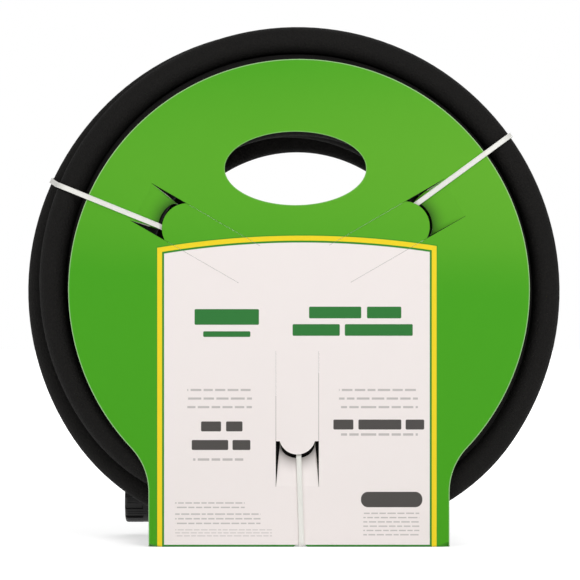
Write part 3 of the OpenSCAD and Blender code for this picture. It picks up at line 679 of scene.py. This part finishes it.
# ---- ties: a band drawn tight round everything it crosses, its head and the cut stub ----
def tie_mesh(direction, offset, slot, side, along, stray):
    """The band's line is the outline of discs round the strands and the card's points: at angle t
    it is the point that reaches furthest along (cos t, sin t). Its section is flat with two raised
    edges. On the front it strays sideways, by the two given amounts at the slot and outside."""
    a = math.radians(direction)
    out, across = np.array([math.cos(a), 0, math.sin(a)]), np.array([-math.sin(a), 0, math.cos(a)])
    d = line @ across - offset
    k = np.nonzero(d[:-1] * d[1:] <= 0)[0]
    f = (d[k] / (d[k] - d[k + 1]))[:, None]
    p = line[k] * (1 - f) + line[k + 1] * f
    strands = np.stack([p @ out, p[:, 1]], -1)
    strands = strands[strands[:, 0] > 0]
    past = on_strip(flat, slot)[2]
    beneath = abs(sheet @ across - offset) < STRAP_W / 2 + 0.4
    under = sheet[(past > -NEAR) & beneath & (sheet @ out > 0)]
    discs = np.concatenate([np.insert(strands, 2, HOSE_R + SOFT, axis=1), np.insert(
        np.stack([under @ out, under[:, 1]], -1), 2, BOARD / 2 + TOUCH, axis=1)])
    t = np.linspace(0, TAU, 1441)[:-1]
    n = np.stack([np.cos(t), np.sin(t)], -1)
    best = (n @ discs[:, :2].T + discs[:, 2]).argmax(1)
    p = discs[best, :2] + discs[best, 2:] * n
    loop = np.concatenate([p, p[:1]])
    s = run_lengths(loop)
    want = np.linspace(0, s[-1], int(s[-1] / 1.2) + 1)[:-1]
    angle = np.interp(want, s, np.concatenate([t, [TAU]]))
    p = np.stack([np.interp(want, s, loop[:, k]) for k in (0, 1)], -1)
    n = np.stack([np.cos(angle), np.sin(angle)], -1)

    def placed(in_plane, sideways):
        """Points of the band's plane in space, moved out of that plane by an amount each."""
        return (in_plane[..., :1] * out + in_plane[..., 1:] * np.array([0, 1.0, 0])
                + sideways[..., None] * across)
    w, h = STRAP_W / 2, STRAP_T
    section = np.array([[-w, 0.25], [0.25 - w, 0], [w - 0.25, 0], [w, 0.25], [w, h - 0.2],
                        [w - 0.2, h], [w - 0.5, h], [w - 0.75, h - 0.2], [0.75 - w, h - 0.2],
                        [0.5 - w, h], [0.2 - w, h], [-w, h - 0.2]])
    outward = np.clip((p[:, 0] - STRAY_FROM) / STRAY_OVER, 0, 1)
    # a strap strays on the front alone
    astray = (stray[0] * (1 - outward) + stray[1] * outward) * np.clip((30 - p[:, 1]) / 60, 0, 1)
    band = placed(p[:, None] + section[None, :, 1:] * n[:, None],
                  section[None, :, 0] + offset + astray[:, None])
    faces = grid_faces(len(p), len(section), wrap_rows=True)
    # head: rounded block lofted outwards from the band's line, over the free end behind the coil
    tail = strands[strands[:, 1] > 40][0]
    others = strands[side * (strands[:, 0] - tail[0]) > HOSE_D] - tail
    lean = math.atan(side * (side * others[:, 1] / others[:, 0]).max())
    run = np.array([math.cos(lean), math.sin(lean)])
    rise = np.array([-math.sin(lean), math.cos(lean)])
    foot = tail + run * side * along + rise * (HOSE_R + SOFT)
    a = np.linspace(TAU, 0, 33)[:-1]
    block = np.stack([np.sign(np.cos(a)) * abs(np.cos(a)) ** 0.35,
                      np.sign(np.sin(a)) * abs(np.sin(a)) ** 0.35], -1) * HEAD_HALF
    rows = [(0.0, 0.6), (0.0, 0.94), (0.5, 1.0), (3.4, 1.0), (4.2, 0.95), (4.5, 0.84), (4.5, 0.42),
            (3.9, 0.38)]
    head = np.stack([placed(foot + rise * height + block[:, :1] * scale * run,
                            block[:, 1] * scale + offset) for height, scale in rows])
    # stub: the band's end, cut square above the head
    stub = np.stack([placed(foot + rise * height + run * (section[:, 1:] - h / 2 + bow),
                            section[:, 0] + offset)
                     for height, bow in ((3.4, 0.0), (6.5, 0.1), (9.5, 0.4), (12.5, 1.0))])
    first = band.shape[0] * band.shape[1]
    for part in (head, stub):
        faces += (np.array(grid_faces(*part.shape[:2])) + first).tolist()
        faces += end_faces(first, *part.shape[:2])
        first += part.shape[0] * part.shape[1]
    return np.concatenate([q.reshape(-1, 3) for q in (band, head, stub)]), faces


for node, direction, offset, slot, side, stray in (
        ("tie_left", 155.5, 0, SLOTS[1], 1, (0, 3.4)),
        ("tie_right", 33.8, 0, SLOTS[2], 1, (0, 3.4)),
        ("tie_bottom", -90, TIE_X, SLOTS[0], -1, (-1.6, 1.0))):
    points, faces = tie_mesh(direction, offset, slot, side, 30, stray)
    tie = mesh_piece(node + "_band", points, faces, materials=[NYLON], sharp=35)
    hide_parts(node)


# ---- couplings: turned on +Z out of the hose, with the hose's cut end at 0 ----
def cut_thread(z, a, shift=0.0):
    """0 at a thread's root and 1 at its crest: one turn of the helix rises one pitch."""
    phase = np.mod(z / THREAD_PITCH - a / TAU + shift, 1)
    return np.clip(1.3 * (1 - abs(2 * phase - 1)) - 0.15, 0, 1)


def fade(z, low, high, over=0.8):
    """1 between two heights, falling to 0 over a short way at both."""
    return np.clip(np.minimum(z - low, high - z) / over, 0, 1)


def groove(distance, half, wall):
    """1 within half a width of a groove's middle, falling to 0 over its wall."""
    return np.clip((half + wall - abs(distance)) / wall, 0, 1)


def aside(a, count, start=0.0):
    """Angle from the nearest of a number of even directions, in degrees."""
    step = 360 / count
    return np.mod(np.degrees(a) - start + step / 2, step) - step / 2


def rows_between(r0, z0, r1, z1, spacing):
    """Points of a profile from one place to just before another."""
    n = max(int(round(math.hypot(r1 - r0, z1 - z0) / spacing)), 1)
    return [(r0 + (r1 - r0) * k / n, z0 + (z1 - z0) * k / n) for k in range(n)]


def turned_piece(name, node, profile, angles, at, material, body, shape=None, closed=True):
    """A turned solid. profile is a closed line of (radius, height), or one that starts and ends
    near the axis; shape changes the radii, given radius, height and angle on the grid. The faces
    point out of a line that runs anticlockwise, so one with a negative area is turned round."""
    r, z = np.array(profile).T
    area = (r * np.roll(z, -1) - np.roll(r, -1) * z).sum()
    r, z = r[:, None], z[:, None]
    a = np.radians(np.asarray(angles, float))[None, :]
    r, z, a = np.broadcast_arrays(r, z, a)
    if shape:
        r = shape(r, z, a)
    origin, axes = at
    local = np.stack([r * np.cos(a), r * np.sin(a), z], -1).reshape(-1, 3)
    rows, cols = r.shape
    faces = grid_faces(rows, cols, wrap_rows=closed)
    if not closed:
        faces += end_faces(0, rows, cols)
    if area < 0:
        faces = [q[::-1] for q in faces]
    piece = mesh_piece(name, local @ axes + origin, faces, body, [material], sharp=32)
    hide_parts(node)
    return piece


AT_INLET = (INLET_END, np.array([[0, 0, 1.0], [0, 1.0, 0], [-1.0, 0, 0]]))
AT_OUTLET = (OUTLET_END, np.array([[0.5, 0, -OUTLET_DIR[0]], [0, 1.0, 0], OUTLET_DIR]))
EVEN = np.arange(96) * (360 / 96)


def barbs():
    """Outline of the barbed shank from its tip in the hose to the cut end."""
    rows = [(WATERWAY_R, -GRIP)]
    for z in np.arange(5) * 4 - GRIP:
        rows += [(BARB_R, z), (SHANK_R, z + 3), (BARB_R, z + 3)]
    return rows


def sleeve_profile():
    """Sleeve with three rolled grooves and a flared rim against the shoulder."""
    z = np.concatenate([np.linspace(-19.2, -3.2, 81), np.linspace(-3.0, -2.4, 5)])
    r = SLEEVE_R + 0.6 * np.clip((z + 3.0) / 0.6, 0, 1)
    for middle in (-15, -11, -7):
        r = r - 0.6 * np.sqrt(np.clip(1 - ((z - middle) / 0.9) ** 2, 0, 1))
    return [(HOSE_R + TOUCH, 0), (HOSE_R + TOUCH, -GRIP), (SLEEVE_R - 0.8, -GRIP), *zip(r, z),
            (SLEEVE_R + 0.6, -0.3), (SLEEVE_R + 0.3, 0)]


def nut_shape(r, z, a):
    """Twelve wide flutes from the mouth, two fine lines on each land, and the thread inside."""
    outer, ring = r > THREAD_R + 1.2, z - NUT_Z
    flute = groove(aside(a, 12, 15), 4.7, 0.7) * np.clip((ring - 8.5) / 0.7, 0, 1)
    fine = groove(abs(aside(a, 12, 0)) - 3.16, 0.45, 0.5) * fade(ring, 5.5, 20.0, 0.5)
    inner = (abs(r - THREAD_R) < 0.01) & (ring > 10.7)
    r = np.where(outer, r - flute * np.maximum(r - (NUT_R - 1.2), 0) - 0.3 * fine * (r > 15.5), r)
    return np.where(inner, r - cut_thread(z, a) * fade(ring, 10.9, 20.9), r)


NUT_ANGLES = [30 * k + s * v for k in range(12) for s, v in (
    (1, 0), (1, 2.26), (1, 2.71), (1, 3.16), (1, 3.61), (1, 4.06), (1, 6.5), (1, 9.5), (1, 10.3),
    (1, 12.7), (1, 15), (-1, 12.7), (-1, 10.3), (-1, 9.5), (-1, 6.5), (-1, 4.06), (-1, 3.61),
    (-1, 3.16), (-1, 2.71), (-1, 2.26))]
NUT_ANGLES = sorted(v % 360 for v in NUT_ANGLES)
nut_profile = [(r, z + NUT_Z) for r, z in (
    [(LIP_BORE, 0), (NUT_R - 3, 0), (NUT_R - 1, 1.2), (NUT_R - 0.3, 3)]
    + [(NUT_R, z) for z in (5, 5.5, 6.0, 8.5, 8.8, 9.2, 12, 19.5, 20.0, 20.4)]
    + [(NUT_R - 0.48, NUT_LEN - 0.56), (NUT_R - 1.6, NUT_LEN), (THREAD_R + 1, NUT_LEN)]
    + rows_between(THREAD_R, NUT_LEN - 1, THREAD_R, 10.7, THREAD_STEP)
    + [(THREAD_R, 10.7), (THREAD_R + 0.4, 10.3), (THREAD_R + 0.4, 3.8), (LIP_BORE, 3.8)])]
turned_piece("inlet_nut_moulded", "inlet_nut", nut_profile, NUT_ANGLES, AT_INLET, BLACK_PLASTIC,
             "nut", nut_shape)

inlet_stem = turned_piece("inlet_stem_moulded", "inlet_stem", barbs() + [
    (BARB_R, TOUCH), (SHOULDER_R - 0.35, TOUCH), (SHOULDER_R, 0.4), (SHOULDER_R, 2.6),
    (SHOULDER_R - 0.35, 3.0), (LIP_BORE - 0.08, 3.0), (LIP_BORE - 0.08, FLANGE_Z),
    (FLANGE_R, FLANGE_Z), (FLANGE_R, 9.7), (FLANGE_R - 0.2, 9.9), (WATERWAY_R + 0.3, 9.9),
    (WATERWAY_R, 9.6)], EVEN, AT_INLET, BLACK_PLASTIC, "pack")
inlet_sleeve = turned_piece("inlet_sleeve_moulded", "inlet_sleeve", sleeve_profile(), EVEN,
                            AT_INLET, BLACK_PLASTIC, "pack")
turned_piece("outlet_sleeve_moulded", "outlet_sleeve", sleeve_profile(), EVEN, AT_OUTLET,
             BLACK_PLASTIC, "pack")


def washer_profile(bore, radius, low, thick):
    """A ring with rounded edges and a shallow groove in its outer face."""
    high, ease = low + thick, 0.3
    return [(bore + ease, low), (radius - ease, low), (radius, low + ease), (radius, high - ease),
            (radius - ease, high), (radius - 1.2, high), (radius - 1.6, high - ease),
            (bore + 1.6, high - ease), (bore + 1.2, high), (bore + ease, high),
            (bore, high - ease), (bore, low + ease)]


turned_piece("flow_disc_moulded", "flow_disc", [
    (1.2, DISC_Z), (FLANGE_R - 0.2, DISC_Z), (FLANGE_R, DISC_Z + 0.2), (FLANGE_R, DISC_Z + 1.0),
    (FLANGE_R - 0.2, DISC_Z + 1.2), (4.0, DISC_Z + 1.2), (3.6, DISC_Z + 0.9),
    (1.6, DISC_Z + 0.9), (1.2, DISC_Z + 0.5)], EVEN, AT_INLET, PALE_PLASTIC, "nut")
turned_piece("inlet_washer_moulded", "inlet_washer", washer_profile(8.0, 13.2, WASHER_Z, 2.9), EVEN,
             AT_INLET, SEAL_RUBBER, "nut")
turned_piece("cap_washer_moulded", "cap_washer", washer_profile(5.0, 13.0, MALE_END + TOUCH, 2.2),
             EVEN, AT_OUTLET, SEAL_RUBBER, "cap_seal")


def male_shape(r, z, a):
    """Six flats below the thread, rounded off by the turning, and the thread's helix."""
    flat_a = np.radians(aside(a, 6, 30))
    hexagon = np.minimum(HEX_W / 2 / np.cos(flat_a), HEX_W / 2 + 0.4 + (z - HEX_LOW) / 5)
    r = np.where((r > HEX_R - 0.6) & (z < MALE_Z + 0.15), hexagon - (HEX_R - r), r)
    crest = r + THREAD_DEPTH * cut_thread(z, a) * fade(z, *MALE_THREAD)
    return np.where(abs(r - MALE_ROOT) < 0.01, crest, r)


turned_piece("outlet_fitting_moulded", "outlet_fitting", barbs() + [
    (BARB_R, HEX_LOW), (HEX_R - 0.4, HEX_LOW), (HEX_R, 0.45), (HEX_R, 4.6), (HEX_R - 0.4, MALE_Z),
    (MALE_ROOT, MALE_Z + 0.01)]
    + rows_between(MALE_ROOT, 5.3, MALE_ROOT, MALE_THREAD[1], THREAD_STEP)
    + [(MALE_R - 1.1, MALE_THREAD[1]), (MALE_R - 1.3, MALE_END), (WATERWAY_R + 0.3, MALE_END),
       (WATERWAY_R, MALE_END - 0.3)],
    EVEN, AT_OUTLET, BLACK_PLASTIC, "pack", male_shape)


def cap_shape(r, z, a):
    """Sixteen rounded grip flutes outside and the matching thread inside, half a turn on."""
    off, up = CAP_R * np.radians(aside(a, 16)), z - CAP_Z
    round_cut = np.maximum(np.sqrt(np.maximum(1.4 ** 2 - off ** 2, 0)) - 0.6, 0)
    deep = round_cut * np.clip((up - 1.6) / 0.5, 0, 1)
    inner = (abs(r - CAP_BORE_R) < 0.01) & (up > 0.5)
    r = np.where((r > CAP_R - 1) & (up > 0.3), np.minimum(r, CAP_R - deep), r)
    return np.where(inner, r - THREAD_DEPTH * cut_thread(z, a, 0.5) * fade(up, 0.6, 11.5), r)


CAP_ANGLES = sorted((22.5 * k + v) % 360 for k in range(16) for v in (
    0, 1.6, 3.0, 3.9, 4.6, 5.4, 8.3, 11.25, -8.3, -5.4, -4.6, -3.9, -3.0, -1.6))
turned_piece("end_cap_moulded", "end_cap", [(r, z + CAP_Z) for r, z in (
    [(2.0, CAP_LEN), (13.2, CAP_LEN), (14.2, CAP_LEN - 0.05), (CAP_R - 0.4, CAP_LEN - 0.45),
     (CAP_R, CAP_LEN - 1.4), (CAP_R, 8.0), (CAP_R, 2.4), (CAP_R, 2.1), (CAP_R, 1.6), (CAP_R, 0.6),
     (CAP_R - 0.5, 0), (CAP_BORE_R + 0.2, 0)]
    + rows_between(CAP_BORE_R, 0.3, CAP_BORE_R, 12.6, THREAD_STEP)
    + [(CAP_BORE_R, 12.7), (2.0, 12.7)])],
    CAP_ANGLES, AT_OUTLET, BLACK_PLASTIC, "cap", cap_shape, closed=False)

# ---- floor, light and camera ----
floor_mesh = bpy.data.meshes.new("floor")
floor_mesh.from_pydata([(FLOOR_HALF * x, FLOOR_HALF * y, FLOOR_Z)
                        for x, y in ((-1, -1), (1, -1), (1, 1), (-1, 1))], [], [(0, 1, 2, 3)])
floor = bpy.data.objects.new("floor", floor_mesh)
bpy.context.scene.collection.objects.link(floor)
m, t, shader = blank_material("matt_white_paper")
shader.inputs["Base Color"].default_value = (0.8, 0.8, 0.8, 1)
shader.inputs["Roughness"].default_value = 0.9
rays = add(t, "LightPath")
glow = add(t, "Math", (0, rays.outputs["Is Camera Ray"]), (1, rays.outputs["Is Glossy Ray"]),
           operation="MAXIMUM")
where = add(t, "TexCoord").outputs["Object"]
away = add(t, "VectorMath", (0, where), operation="LENGTH").outputs[1]
level = add(t, "MapRange", ("Value", away), in_1=0.25, in_2=0.9, in_3=0.5, in_4=1.0)
dim = add(t, "Math", (0, glow.outputs[0]), (1, level.outputs[0]), operation="MULTIPLY")
shader.inputs["Emission Color"].default_value = (1, 1, 1, 1)
t.links.new(dim.outputs[0], shader.inputs["Emission Strength"])
floor_mesh.materials.append(m)

scene = bpy.context.scene
world = bpy.data.worlds.new("studio")
scene.world = world
world.use_nodes = True
t = world.node_tree
t.nodes.clear()
rays = add(t, "LightPath")
strength = add(t, "MapRange", ("Value", rays.outputs["Is Camera Ray"]), in_3=AMBIENT, in_4=1.0)
sky = add(t, "Background", ("Strength", strength.outputs[0]), Color=(1, 1, 1, 1))
add(t, "OutputWorld", (0, sky.outputs[0]))


def softbox(name, place, size, power):
    """A square area lamp that faces the pack's middle, in metres and watts."""
    lamp = bpy.data.lights.new(name, "AREA")
    lamp.size, lamp.energy = size, power
    o = bpy.data.objects.new(name, lamp)
    o.location = place
    away = np.array(place) - PACK_MIDDLE
    o.rotation_euler = Vector(away.tolist()).to_track_quat("Z", "Y").to_euler()
    scene.collection.objects.link(o)


softbox("key", (0.9, -1.8, 1.5), 1.2, 25)
softbox("fill", (-1.3, -1.6, 0.8), 1.2, 10)
softbox("rim", (0.3, 1.6, 1.6), 1.2, 12)

camera = bpy.data.cameras.new("camera")
camera.sensor_width, camera.lens = 36, 164.9
camera.clip_start, camera.clip_end = 0.05, 40
eye = bpy.data.objects.new("camera", camera)
eye.location = (-0.0018, (COIL_MIDDLE[1] - 1900) * MM, 0.1796)
eye.rotation_euler = (math.pi / 2, 0, 0)
scene.collection.objects.link(eye)
scene.camera = eye
scene.view_settings.view_transform = "Standard"
